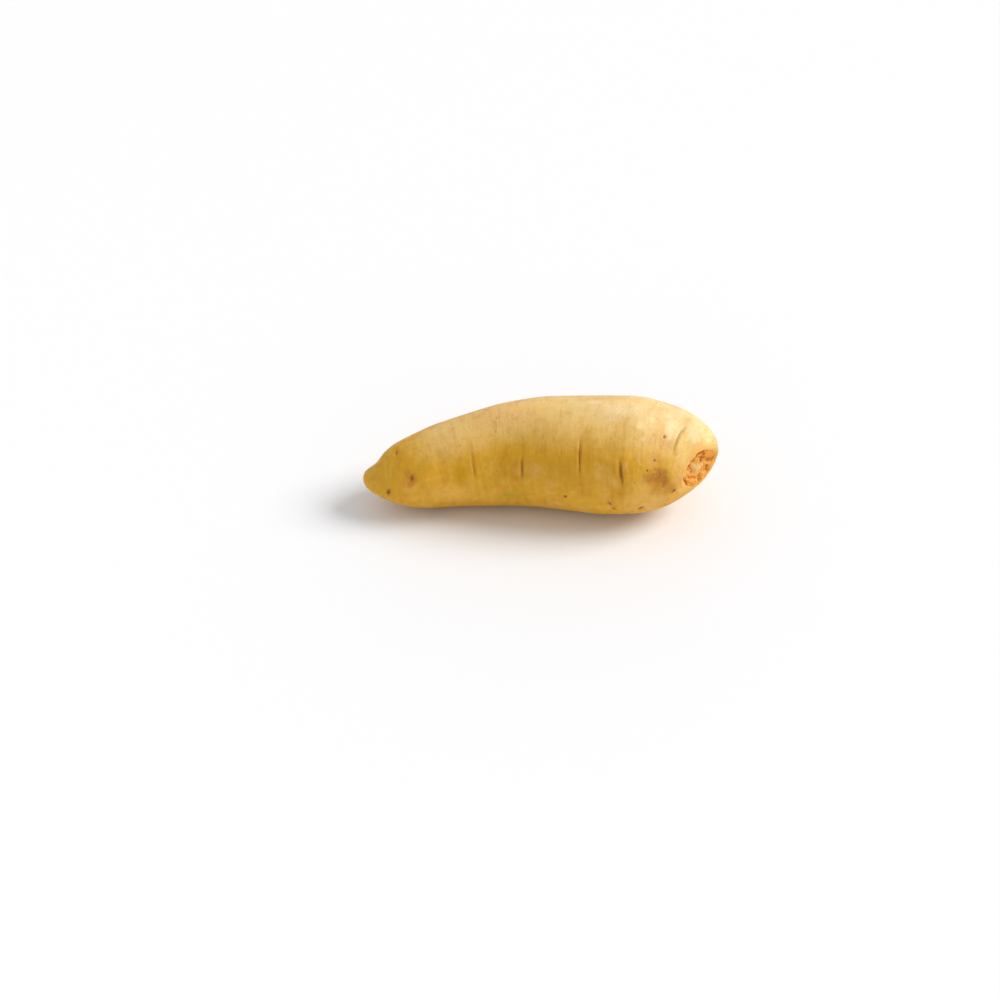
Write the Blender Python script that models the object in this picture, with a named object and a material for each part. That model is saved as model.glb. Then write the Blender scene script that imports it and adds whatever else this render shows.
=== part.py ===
"""Arracacha: one whole storage root, lying on its side.

The tip points to -X and the crown, where the root broke from its plant, to +X.
The viewer's side is -Y. Metres, +Z up, with the origin on the surface that the
root rests on, under the middle of its footprint.

The skin is a UV sphere drawn out along a centre line. A place on it has two
coordinates: its run, the length in millimetres measured over the skin from the
tip, and its turn, the angle in degrees round the root, 0 facing the viewer and
90 on top. Swells, creases and dents are raised from the smooth body by formulas
in run and turn, and the torn crown scar is cut into its shoulder.
"""
import bmesh
import bpy
import numpy as np

MM = 0.001

# The centre line, tip first, in millimetres: along X, aside in Y, the body's
# radius there, and how far its underside stands above the surface it rests on.
STATIONS = (
    (-70.0, -3.5, 8.5, 5.0),
    (-50.0, -2.5, 14.0, 2.0),
    (-25.0, 2.5, 18.5, 0.5),
    (0.0, 2.5, 22.0, 0.0),
    (25.0, -0.5, 23.5, 0.0),
    (45.0, -2.5, 22.5, 3.0),
    (69.0, -6.5, 18.5, 13.5),
)

# How the body closes at its ends: the length of the arc, and its power, where
# half makes an ellipse and less makes a blunter end.
TIP_LENGTH = 19.0
TIP_POWER = 0.46
SHOULDER_LENGTH = 35.5
SHOULDER_POWER = 0.5

# The crown scar: where on the shoulder its middle lies, how deep the plane of the
# break is cut there, which way it faces (heading from +X, and pitch), the radius
# of the torn disc, how softly the plane meets the round shoulder, and how far the
# disc lies from the plane's middle, to the left as one faces it and up.
SCAR_RUN = 145.5
SCAR_TURN = -20.0
SCAR_CUT = 2.7
SCAR_HEADING = -44.0
SCAR_PITCH = -7.0
SCAR_RADIUS = 9.0
SCAR_EDGE = 0.35
SCAR_SHIFT = (-1.2, -1.0)

# The torn rim wanders in and out: height in mm, waves round it, start in degrees.
SCAR_RAGS = ((0.6, 2, 90.0), (0.35, 4, 90.0))

# The raised lip: height, how far outside the rim it stands, half width. The lip
# is uneven by this share, with so many waves round it.
SCAR_LIP = (0.4, 0.6, 1.3)
SCAR_LIP_WAVES = (0.35, 3)

# The sunken floor: depth, how far inside the rim it starts, width of the step.
SCAR_FLOOR = (0.5, 0.8, 0.45)

# The stub of core left on the floor: height, place across and up, radius.
SCAR_STUB = (0.8, 1.0, 1.2, 2.6)

# The torn relief fades out where the shoulder falls this far below the plane.
SCAR_FADE = 1.5

# Weight has flattened the lowest part of the underside by this much.
REST_FLAT = 0.5

# Slow unevenness: height in mm, waves round the root, length of a wave along
# it in mm, and the wave's start in degrees. It dies away towards both ends.
SWELLS = (
    (0.30, 2, 95.0, 40.0),
    (0.22, 3, -60.0, 180.0),
    (0.16, 1, 38.0, -10.0),
    (0.12, 5, 44.0, 135.0),
)
SWELL_FADE = 30.0

# Creases on the viewer's side: run and turn of the middle, angle spanned in
# degrees, depth, half width, and how far the crease leans from end to end.
CREASES = (
    (48.8, 27.0, 42.0, 0.30, 0.6, 0.7),
    (72.0, 20.0, 34.0, 0.70, 0.6, 1.0),
    (95.4, 32.0, 50.0, 0.55, 0.6, -0.5),
    (111.0, 18.5, 34.0, 0.90, 0.8, -1.3),
    (137.9, 56.5, 60.0, 0.85, 1.0, 7.5),
)

# A crease's lips: their share of its depth, and where they stand, in half widths.
# It thins out to nothing at both ends, by this power of a parabola.
CREASE_LIP = 0.25
CREASE_LIP_PLACE = 2.2
CREASE_TAPER = 1.2

# More creases, spread by a rule over the sides that face away and down.
HIDDEN_SEED = 7
HIDDEN_CREASES = 10
HIDDEN_RUN = (24.0, 128.0)
HIDDEN_TURN = (152.0, 284.0)
HIDDEN_SPAN = (18.0, 46.0)
HIDDEN_DEPTH = (0.35, 0.8)
HIDDEN_WIDTH = (0.7, 1.0)
HIDDEN_LEAN = (-1.5, 1.5)

# Dents: run, turn, radius and depth. The first is the flat upper side of the tip.
DENTS = (
    (9.0, 125.0, 4.2, 1.6),
    (128.2, 6.0, 3.3, 0.9),
    (24.6, 30.0, 1.8, 0.5),
    (20.0, 86.0, 1.5, 0.4),
    (84.0, 200.0, 4.2, 0.7),
    (118.0, 150.0, 5.4, 0.8),
)

# The mesh: vertices round the root, rings from pole to pole, how much closer the
# rings stand at a crease and about the scar, and over what length.
AROUND = 48
RINGS = 123
CREASE_RINGS = 1.5
CREASE_REACH = 2.2
CROWN_RINGS = 0.8
CROWN_REACH = 20.0

# The rings' far pole is leant from the end of the body to the middle of the
# scar, so that they run round the scar. The lean fades out over this length.
SHOULDER_RUN = 44.0
LEAN_RUN = 60.0

SKIN_COLOUR = (0.60, 0.40, 0.13, 1.0)
SKIN_ROUGHNESS = 0.55


def natural_spline(knots, values, at):
    """Smooth curve through the values at the knots, straight at both ends."""
    gap = np.diff(knots)
    slope = np.diff(values) / gap
    count = len(knots)
    system = np.eye(count)
    target = np.zeros(count)
    for i in range(1, count - 1):
        system[i, i - 1:i + 2] = gap[i - 1], 2 * (gap[i - 1] + gap[i]), gap[i]
        target[i] = 6 * (slope[i] - slope[i - 1])
    bend = np.linalg.solve(system, target)
    k = np.clip(np.searchsorted(knots, at) - 1, 0, count - 2)
    t = at - knots[k]
    first = slope[k] - gap[k] * (2 * bend[k] + bend[k + 1]) / 6
    return values[k] + t * (first + t * (bend[k] / 2 + t * (bend[k + 1] - bend[k]) / (6 * gap[k])))


def rounded(distance, length, power):
    """Rises from 0 at an end to 1 at the given length from it, along an arc raised to a power."""
    q = np.clip(distance / length, 0, 1)
    return (1 - (1 - q) ** 2) ** power


def turn_between(turn, middle):
    """Signed angle from a middle to a turn, the short way round, in degrees."""
    return (turn - middle + 180) % 360 - 180


def spread(seed, count, *ranges):
    """Seeded draws: a row of values for each of count things, each within its range."""
    rng = np.random.default_rng(seed)
    low, high = np.array(ranges).T
    return low + (high - low) * rng.random((count, len(ranges)))


class Body:
    """The smooth body: sections stand square to a centre line, and their radius closes at both ends."""

    def __init__(self):
        knots, aside, radius, lift = np.array(STATIONS).T
        along = np.linspace(knots[0], knots[-1], 1201)
        width = natural_spline(knots, radius, along)
        height = width + natural_spline(knots, lift, along)
        self.line = np.stack([along, natural_spline(knots, aside, along), height], axis=1)
        steps = np.linalg.norm(np.diff(self.line, axis=0), axis=1)
        self.length = np.concatenate([[0.0], np.cumsum(steps)])
        self.ahead = np.gradient(self.line, self.length, axis=0)
        self.ahead /= np.linalg.norm(self.ahead, axis=1, keepdims=True)
        end = self.length[-1]
        self.place = end * (1 - np.cos(np.linspace(0, np.pi, 3000))) / 2
        self.radius = (np.interp(self.place, self.length, width)
                       * rounded(self.place, TIP_LENGTH, TIP_POWER)
                       * rounded(end - self.place, SHOULDER_LENGTH, SHOULDER_POWER))
        steps = np.hypot(np.diff(self.place), np.diff(self.radius))
        self.run = np.concatenate([[0.0], np.cumsum(steps)])
        self.total = self.run[-1]

    def point(self, run, turn):
        """Points of the smooth body at runs and turns, in millimetres."""
        place = np.interp(run, self.run, self.place)
        radius = np.interp(run, self.run, self.radius)
        middle = np.stack([np.interp(place, self.length, axis) for axis in self.line.T], axis=-1)
        ahead = np.stack([np.interp(place, self.length, axis) for axis in self.ahead.T], axis=-1)
        side = np.cross(ahead, (0.0, 0.0, 1.0))
        side /= np.linalg.norm(side, axis=-1, keepdims=True)
        rise = np.cross(side, ahead)
        angle = np.radians(turn)[..., None]
        return middle + radius[..., None] * (np.cos(angle) * side + np.sin(angle) * rise)


def lean_pole(run, turn, total):
    """Runs and turns of the rings once their far pole has been leant to the scar.

    Each place is taken as a direction on a ball, with the far pole ahead. The
    ball is turned about a level axis by the scar's angle from the pole, less
    and less with distance from the pole.
    """
    scale = np.pi / 2 / SHOULDER_RUN
    polar = (total - run) * scale
    angle = np.radians(turn)
    lean = (total - SCAR_RUN) * scale
    lean = lean * (1 + np.cos(np.pi * np.clip((total - run) / LEAN_RUN, 0, 1))) / 2
    towards = np.radians(SCAR_TURN)
    along = np.sin(polar) * np.cos(angle - towards)
    across = np.sin(polar) * np.sin(angle - towards)
    ahead = np.cos(polar)
    along, ahead = along * np.cos(lean) + ahead * np.sin(lean), ahead * np.cos(lean) - along * np.sin(lean)
    leant_run = total - np.arccos(np.clip(ahead, -1, 1)) / scale
    leant_turn = np.degrees(np.arctan2(across, along) + towards)
    near = total - run < LEAN_RUN
    return np.where(near, leant_run, run), np.where(near, leant_turn, turn)


def all_creases():
    """The creases that are seen, and those that the rule adds on the other sides."""
    hidden = spread(HIDDEN_SEED, HIDDEN_CREASES, HIDDEN_RUN, HIDDEN_TURN,
                    HIDDEN_SPAN, HIDDEN_DEPTH, HIDDEN_WIDTH, HIDDEN_LEAN)
    return np.concatenate([np.array(CREASES), hidden])


def relief(body, run, turn, skin):
    """Height of swells, creases and dents over the smooth body, in millimetres."""
    height = np.zeros(run.shape)
    fade = rounded(run, SWELL_FADE, 0.5) * rounded(body.total - run, SWELL_FADE, 0.5)
    for rise, waves, wave_length, start in SWELLS:
        height += rise * fade * np.sin(np.radians(waves * turn + start) + 2 * np.pi * run / wave_length)
    for middle, facing, span, depth, width, lean in all_creases():
        part = turn_between(turn, facing) / (span / 2)
        taper = np.clip(1 - part ** 2, 0, 1) ** CREASE_TAPER
        off = (run - middle - lean * part / 2) / width
        groove = np.exp(-off ** 2)
        lip = CREASE_LIP * np.exp(-(np.abs(off) - CREASE_LIP_PLACE) ** 2)
        height += depth * taper * (lip - groove)
    for middle, facing, reach, depth in DENTS:
        centre = body.point(np.array(middle), np.array(facing))
        distance = np.linalg.norm(skin - centre, axis=-1)
        height -= depth * np.exp(-(distance / reach) ** 2)
    return height


def scar_frame(body):
    """Middle of the scar's plane, and its directions across, up and out of it."""
    heading, pitch = np.radians((SCAR_HEADING, SCAR_PITCH))
    out = np.array([np.cos(heading) * np.cos(pitch), np.sin(heading) * np.cos(pitch), np.sin(pitch)])
    middle = body.point(np.array(SCAR_RUN), np.array(SCAR_TURN)) - SCAR_CUT * out
    level = np.cross(out, (0.0, 0.0, 1.0))
    level /= np.linalg.norm(level)
    return middle, level, np.cross(level, out), out


def tear_scar(body, skin):
    """Cuts the shoulder back to the scar's plane and raises the torn surface on it."""
    middle, level, up, out = scar_frame(body)
    offset = skin - middle
    height = offset @ out
    x, y = offset @ level - SCAR_SHIFT[0], offset @ up - SCAR_SHIFT[1]
    reach = np.hypot(x, y)
    angle = np.arctan2(y, x)
    cut = -SCAR_EDGE * np.logaddexp(0, -height / SCAR_EDGE)
    inward = SCAR_RADIUS - reach
    for rise, waves, start in SCAR_RAGS:
        inward += rise * np.sin(waves * angle + np.radians(start))
    lip_height, lip_place, lip_width = SCAR_LIP
    share, waves = SCAR_LIP_WAVES
    uneven = 1 + share * np.sin(waves * angle + 1)
    lip = lip_height * uneven * np.exp(-((inward + lip_place) / lip_width) ** 2)
    depth, start, step = SCAR_FLOOR
    floor = depth / (1 + np.exp(-(inward - start) / step))
    height_of_stub, stub_x, stub_y, stub_radius = SCAR_STUB
    stub = height_of_stub * np.exp(-((x - stub_x) ** 2 + (y - stub_y) ** 2) / stub_radius ** 2)
    torn = cut + np.exp(-(cut / SCAR_FADE) ** 2) * (lip - floor + stub)
    return skin + (torn - height)[:, None] * out


def skin_material():
    """Pale yellow skin, matt with a faint sheen."""
    material = bpy.data.materials.new("root_skin")
    material.use_nodes = True
    shader = material.node_tree.nodes["Principled BSDF"]
    shader.inputs["Base Color"].default_value = SKIN_COLOUR
    shader.inputs["Roughness"].default_value = SKIN_ROUGHNESS
    shader.inputs["Metallic"].default_value = 0.0
    return material


def ring_runs(total):
    """Where the rings lie: evenly over the skin, and closer at the creases and the scar."""
    run = np.linspace(0, total, 4001)
    weight = 1 + CROWN_RINGS * np.exp(-((total - run) / CROWN_REACH) ** 2)
    for crease in CREASES[:-1]:
        weight += CREASE_RINGS * np.exp(-((run - crease[0]) / CREASE_REACH) ** 2)
    share = np.cumsum(weight)
    return np.interp(np.linspace(share[0], share[-1], RINGS + 1), share, run)


def place_vertices(bm, millimetres):
    """Moves each vertex of a mesh to its row of coordinates, given in millimetres."""
    for vertex, place in zip(bm.verts, millimetres * MM):
        vertex.co = place


def root_mesh():
    """The root's mesh: a ball drawn out along the body, raised by its relief and torn at the scar."""
    body = Body()
    bm = bmesh.new()
    bmesh.ops.create_uvsphere(bm, u_segments=AROUND, v_segments=RINGS, radius=1.0)
    ball = np.array([vertex.co for vertex in bm.verts])
    ring = np.rint(np.arccos(np.clip(ball[:, 2], -1, 1)) / np.pi * RINGS).astype(int)
    turn = np.degrees(np.arctan2(ball[:, 1], ball[:, 0]))
    run, turn = lean_pole(ring_runs(body.total)[ring], turn, body.total)
    skin = body.point(run, turn)
    place_vertices(bm, skin)

    bm.normal_update()
    normals = np.array([vertex.normal for vertex in bm.verts])
    skin = skin + relief(body, run, turn, skin)[:, None] * normals
    skin = tear_scar(body, skin)
    skin[:, 2] = np.maximum(skin[:, 2], REST_FLAT) - REST_FLAT
    place_vertices(bm, skin)
    bmesh.ops.triangulate(bm, faces=bm.faces[:])

    mesh = bpy.data.meshes.new("arracacha_root")
    bm.to_mesh(mesh)
    bm.free()
    mesh.shade_smooth()
    return mesh


def main():
    for item in list(bpy.data.objects):
        bpy.data.objects.remove(item, do_unlink=True)
    collection = bpy.data.collections.new("arracacha")
    bpy.context.scene.collection.children.link(collection)
    root = bpy.data.objects.new("arracacha_root", root_mesh())
    root.data.materials.append(skin_material())
    collection.objects.link(root)


main()
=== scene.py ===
# %% [markdown]
# # The looks of an arracacha root
# One whole storage root lies on its side: pale yellow skin, a blunt tip to the left, and to the right the
# crown end, where it was torn from its plant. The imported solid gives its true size. It is too coarse to carry
# skin, so this lesson builds the same surface again on a finer grid, adds what the skin has, and paints and
# lights it.

import bpy
import numpy as np
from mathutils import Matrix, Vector


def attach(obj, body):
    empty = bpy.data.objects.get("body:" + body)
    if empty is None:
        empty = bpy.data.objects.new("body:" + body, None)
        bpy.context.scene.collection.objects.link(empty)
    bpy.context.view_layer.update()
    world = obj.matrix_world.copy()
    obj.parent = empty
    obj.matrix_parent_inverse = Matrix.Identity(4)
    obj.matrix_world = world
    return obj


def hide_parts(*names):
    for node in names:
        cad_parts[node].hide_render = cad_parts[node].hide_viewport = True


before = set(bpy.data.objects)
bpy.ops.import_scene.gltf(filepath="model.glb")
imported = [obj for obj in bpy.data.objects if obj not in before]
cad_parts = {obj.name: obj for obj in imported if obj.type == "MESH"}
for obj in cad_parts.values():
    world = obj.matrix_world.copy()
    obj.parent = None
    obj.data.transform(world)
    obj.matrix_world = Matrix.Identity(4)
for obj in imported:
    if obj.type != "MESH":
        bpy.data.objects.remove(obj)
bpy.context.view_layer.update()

MM = 0.001

# %% [markdown]
# ## The body
# A root is round in every section, so it could be lathed, but this one is bent. It is drawn instead as a
# circle carried along a curved centre line. The centre line and the radius are smooth curves through seven
# stations, and an arc closes each end. The stations are those of the solid, so both surfaces have one shape.

# %% Stations along the root
STATIONS = (  # along X, aside in Y, radius, height of the underside, in mm
    (-70.0, -3.5, 8.5, 5.0),
    (-50.0, -2.5, 14.0, 2.0),
    (-25.0, 2.5, 18.5, 0.5),
    (0.0, 2.5, 22.0, 0.0),
    (25.0, -0.5, 23.5, 0.0),
    (45.0, -2.5, 22.5, 3.0),
    (69.0, -6.5, 18.5, 13.5),
)
TIP_LENGTH, TIP_POWER = 19.0, 0.46
SHOULDER_LENGTH, SHOULDER_POWER = 35.5, 0.5
LINE_POINTS, PROFILE_POINTS = 1201, 3000


def natural_spline(knots, values, at):
    """A smooth curve through the values at the knots.

    Between two knots it is a cubic. Neighbours meet with one slope and one bend, and at both ends the bend is
    nothing. One set of equations gives the bends, and t is the distance into piece k.
    """
    gap = np.diff(knots)
    slope = np.diff(values) / gap
    count = len(knots)
    system = np.eye(count)
    target = np.zeros(count)
    for i in range(1, count - 1):
        system[i, i - 1:i + 2] = gap[i - 1], 2 * (gap[i - 1] + gap[i]), gap[i]
        target[i] = 6 * (slope[i] - slope[i - 1])
    bend = np.linalg.solve(system, target)
    k = np.clip(np.searchsorted(knots, at) - 1, 0, count - 2)
    t = at - knots[k]
    first = slope[k] - gap[k] * (2 * bend[k] + bend[k + 1]) / 6
    return values[k] + t * (first + t * (bend[k] / 2 + t * (bend[k + 1] - bend[k]) / (6 * gap[k])))


def rounded(distance, length, power):
    """Rises from 0 at an end to 1 at a length from it: one less the square of the share left, to a power.

    With a power of a half that is a quarter of an ellipse.
    """
    share = np.clip(distance / length, 0, 1)
    return (1 - (1 - share) ** 2) ** power


# %% Centre line, radius, and the length over the skin
knots, aside, radius, underside = np.array(STATIONS).T
along = np.linspace(knots[0], knots[-1], LINE_POINTS)
line_radius = natural_spline(knots, radius, along)
line_height = line_radius + natural_spline(knots, underside, along)
LINE = np.stack([along, natural_spline(knots, aside, along), line_height], axis=1)
LENGTH = np.concatenate([[0.0], np.cumsum(np.linalg.norm(np.diff(LINE, axis=0), axis=1))])
AHEAD = np.gradient(LINE, LENGTH, axis=0)
AHEAD /= np.linalg.norm(AHEAD, axis=1, keepdims=True)
PLACE = LENGTH[-1] * (1 - np.cos(np.linspace(0, np.pi, PROFILE_POINTS))) / 2
RADIUS = (np.interp(PLACE, LENGTH, line_radius) * rounded(PLACE, TIP_LENGTH, TIP_POWER)
          * rounded(LENGTH[-1] - PLACE, SHOULDER_LENGTH, SHOULDER_POWER))
RUN = np.concatenate([[0.0], np.cumsum(np.hypot(np.diff(PLACE), np.diff(RADIUS)))])
TOTAL = RUN[-1]
print(f"centre line {LENGTH[-1]:.1f} mm, over the skin {TOTAL:.1f} mm, thickest radius {RADIUS.max():.1f} mm")


def on_body(run, turn):
    """The centre line at that run over the skin, plus the radius times the direction of the turn round it.

    The run is in mm from the tip. The turn is in degrees, 0 towards the viewer and 90 up.
    """
    place = np.interp(run, RUN, PLACE)
    centre = np.stack([np.interp(place, LENGTH, axis) for axis in LINE.T], axis=-1)
    ahead = np.stack([np.interp(place, LENGTH, axis) for axis in AHEAD.T], axis=-1)
    side = np.cross(ahead, (0.0, 0.0, 1.0))
    side /= np.linalg.norm(side, axis=-1, keepdims=True)
    upward = np.cross(side, ahead)
    angle = np.radians(turn)[..., None]
    reach = np.interp(run, RUN, RADIUS)[..., None]
    return centre + reach * (np.cos(angle) * side + np.sin(angle) * upward)


# %% [markdown]
# ## The grid
# The skin is one grid: rings from the tip to the crown, and as many points round each ring. Rings stand
# closer where the skin has narrow forms. At the crown the rings would meet at the end of the body, off the
# scar's middle, and cross the torn surface askew. So their pole is leant over to the middle of the scar.

# %% Rings and points
AROUND, RINGS = 256, 388
SCAR_RUN, SCAR_TURN = 145.5, -20.0
SHOULDER_RUN, LEAN_RUN = 44.0, 60.0
BUNCHES = (  # run, reach and height of a bell of closer rings
    (48.8, 3.0, 0.8),
    (72.0, 3.0, 1.2),
    (95.4, 3.0, 1.2),
    (111.0, 3.5, 1.2),
    (TOTAL, 13.0, 2.0),
)
DENSITY_POINTS = 6001


def ring_runs():
    """Runs of the rings: equal shares of a density, which is 1 plus a bell at each bunch."""
    run = np.linspace(0, TOTAL, DENSITY_POINTS)
    density = 1 + sum(more * np.exp(-((run - middle) / reach) ** 2) for middle, reach, more in BUNCHES)
    share = np.cumsum(density)
    return np.interp(np.linspace(share[0], share[-1], RINGS + 1), share, run)


def lean_pole(run, turn):
    """Runs and turns once the rings' far pole has been leant to the scar.

    Each place is a direction on a ball with the pole ahead. The ball is turned towards the scar by the
    scar's angle from the pole, times half of one plus a cosine that falls to nothing at LEAN_RUN.
    """
    scale = np.pi / 2 / SHOULDER_RUN
    polar = (TOTAL - run) * scale
    angle = np.radians(turn)
    lean = (TOTAL - SCAR_RUN) * scale * (1 + np.cos(np.pi * np.clip((TOTAL - run) / LEAN_RUN, 0, 1))) / 2
    towards = np.radians(SCAR_TURN)
    out = np.sin(polar) * np.cos(angle - towards)
    across = np.sin(polar) * np.sin(angle - towards)
    ahead = np.cos(polar)
    out, ahead = out * np.cos(lean) + ahead * np.sin(lean), ahead * np.cos(lean) - out * np.sin(lean)
    near = TOTAL - run < LEAN_RUN
    leant_run = np.where(near, TOTAL - np.arccos(np.clip(ahead, -1, 1)) / scale, run)
    return leant_run, np.where(near, np.degrees(np.arctan2(across, out) + towards), turn)


turns = np.linspace(-180, 180, AROUND, endpoint=False)
ring_run, ring_turn = np.meshgrid(ring_runs(), turns, indexing="ij")
run, turn = lean_pole(ring_run, ring_turn)
skin = on_body(run, turn)
print(f"{skin.shape[0]} rings of {skin.shape[1]} points")


# %% Outward directions
def outward(points):
    """Unit normals of a ringed grid: the cross product of the steps round a ring and from ring to ring.

    The first and last ring are single points, and take the mean of their neighbours.
    """
    round_step = np.roll(points, -1, axis=1) - np.roll(points, 1, axis=1)
    normal = np.cross(np.gradient(points, axis=0), round_step)
    normal[0], normal[-1] = normal[1].sum(axis=0), normal[-2].sum(axis=0)
    return normal / np.linalg.norm(normal, axis=-1, keepdims=True)


normal = outward(skin)
away = ((skin - skin.mean(axis=1, keepdims=True)) * normal).sum(axis=-1) > 0
print(f"{away.mean():.1%} of the normals point away from the middle of their ring")

# %% [markdown]
# ## Unevenness without a seam
# A root has no straight line in it. Noise that is made on the flat grid would show a seam where the grid
# closes. Sine waves that run through space in many directions have none, because they don't know about the
# grid. Broad forms read the skin's own place. Narrow ones, and those that follow the rings, read the skin as
# a straight tube instead: the run of each ring, and the two places across it.


# %% Waves through space
def waves(points, size, seed, count=20):
    """Unevenness, mostly from -1 to 1: a sum of sine waves over the square root of twice their number.

    Each wave is about as long as the size, with a random way and start.
    """
    rng = np.random.default_rng(seed)
    ways = rng.normal(size=(count, 3))
    ways /= np.linalg.norm(ways, axis=1, keepdims=True)
    ways *= 2 * np.pi / (size * rng.uniform(0.7, 1.4, count))[:, None]
    return np.sin(points @ ways.T + rng.uniform(0, 2 * np.pi, count)).sum(axis=-1) / np.sqrt(2 * count)


REACH = np.interp(run, RUN, RADIUS)  # the radius at each point
tube_radius, tube_angle = np.interp(ring_run, RUN, RADIUS), np.radians(ring_turn)
TUBE = np.stack([ring_run, tube_radius * np.cos(tube_angle), tube_radius * np.sin(tube_angle)], axis=-1)
print(f"waves of 15 mm reach {np.abs(waves(TUBE, 15.0, seed=1)).max():.1f} at most")


# %% Places on the skin
def turn_between(turn, middle):
    """Signed angle from a middle to a turn, the short way round, in degrees."""
    return (turn - middle + 180) % 360 - 180


def round_from(facing):
    """How far round the skin each point lies from a turn, in mm: the angle between them times the radius."""
    return np.radians(turn_between(turn, facing)) * REACH


def spread(seed, count, *ranges):
    """Seeded draws: a row of values for each of count things, each within its range."""
    rng = np.random.default_rng(seed)
    low, high = np.array(ranges).T
    return low + (high - low) * rng.random((count, len(ranges)))


# %% [markdown]
# ## Swells and dents
# The slow unevenness and the few broad dents are those of the solid. Over them lie low lumps of 5 to 15 mm,
# as on any root that grew between stones and clods. They are too low to see in the outline, but light shows
# them.

# %% Slow forms
SWELLS = (  # height in mm, waves round the root, length of a wave along it, start in degrees
    (0.30, 2, 95.0, 40.0),
    (0.22, 3, -60.0, 180.0),
    (0.16, 1, 38.0, -10.0),
    (0.12, 5, 44.0, 135.0),
)
SWELL_FADE, SWELL_FADE_POWER = 30.0, 0.5
DENTS = (  # run, turn, radius, depth
    (9.0, 125.0, 4.2, 1.6),
    (128.2, 6.0, 3.3, 0.9),
    (24.6, 30.0, 1.8, 0.5),
    (20.0, 86.0, 1.5, 0.4),
    (84.0, 200.0, 4.2, 0.7),
    (118.0, 150.0, 5.4, 0.8),
)
LUMPS = ((0.10, 15.0, 11), (0.045, 6.0, 12))  # height, size, seed

height = np.zeros(run.shape)
ends = rounded(run, SWELL_FADE, SWELL_FADE_POWER) * rounded(TOTAL - run, SWELL_FADE, SWELL_FADE_POWER)
for rise, count, length, start in SWELLS:
    height += rise * ends * np.sin(np.radians(count * turn + start) + 2 * np.pi * run / length)
for middle, facing, size, depth in DENTS:
    distance = np.linalg.norm(skin - on_body(np.array(middle), np.array(facing)), axis=-1)
    height -= depth * np.exp(-(distance / size) ** 2)
for rise, size, seed in LUMPS:
    height += rise * waves(skin, size, seed)
print(f"slow forms from {height.min():.2f} to {height.max():.2f} mm")

# %% [markdown]
# ## Creases
# Growth rings on the skin open into short cross creases. Each is a groove with soft lips, deepest in its
# middle and running out at both ends. The five on the viewer's side and those that a seeded rule spreads over
# the far side are in the solid too. Many fine cracks, too narrow for the solid, are added all round.

# %% The creases and how dark each one is
CREASES = (  # run, turn, span in degrees, depth, half width, lean from end to end, darkness
    (48.8, 27.0, 42.0, 0.30, 0.6, 0.7, 0.55),
    (72.0, 20.0, 34.0, 0.70, 0.6, 1.0, 0.75),
    (95.4, 32.0, 50.0, 0.48, 0.55, -0.5, 0.75),
    (111.0, 18.5, 34.0, 0.90, 0.95, -1.3, 0.85),
    (137.9, 56.5, 60.0, 0.55, 0.62, 7.5, 0.60),
)
HIDDEN = spread(7, 10, (24, 128), (152, 284), (18, 46), (0.35, 0.8), (0.7, 1.0), (-1.5, 1.5))
FINE = spread(31, 90, (10, 136), (-180, 180), (4, 20), (0.04, 0.20), (0.18, 0.34), (-1.2, 1.2))
HIDDEN_DARKNESS = 0.8
FINE_DARKNESS = 2.2  # for each mm of depth
CREASE_LIP, CREASE_LIP_PLACE, CREASE_TAPER = 0.25, 2.2, 1.2
CREASE_WOBBLE = ((0.16, 5.0, 13), (0.05, 1.8, 14))  # mm, size, seed
CREASE_PAINT = 0.8  # how wide the dark line is, in half widths of the groove

every = [*CREASES]
every += [(*row, HIDDEN_DARKNESS) for row in HIDDEN]
every += [(*row, FINE_DARKNESS * row[3]) for row in FINE]
wobble = sum(far * waves(TUBE, size, seed) for far, size, seed in CREASE_WOBBLE)
crease = np.zeros(run.shape)
for middle, facing, span, depth, half, lean, dark in every:
    part = turn_between(turn, facing) / (span / 2)
    taper = np.clip(1 - part ** 2, 0, 1) ** CREASE_TAPER
    off = (run + wobble - middle - lean * part / 2) / half
    groove = np.exp(-off ** 2)
    lips = CREASE_LIP * np.exp(-(np.abs(off) - CREASE_LIP_PLACE) ** 2)
    height += depth * taper * (lips - groove)
    crease = np.maximum(crease, dark * taper * np.exp(-(off / CREASE_PAINT) ** 2))
print(f"{len(every)} creases, deepest {max(row[3] for row in every):.2f} mm")
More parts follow.
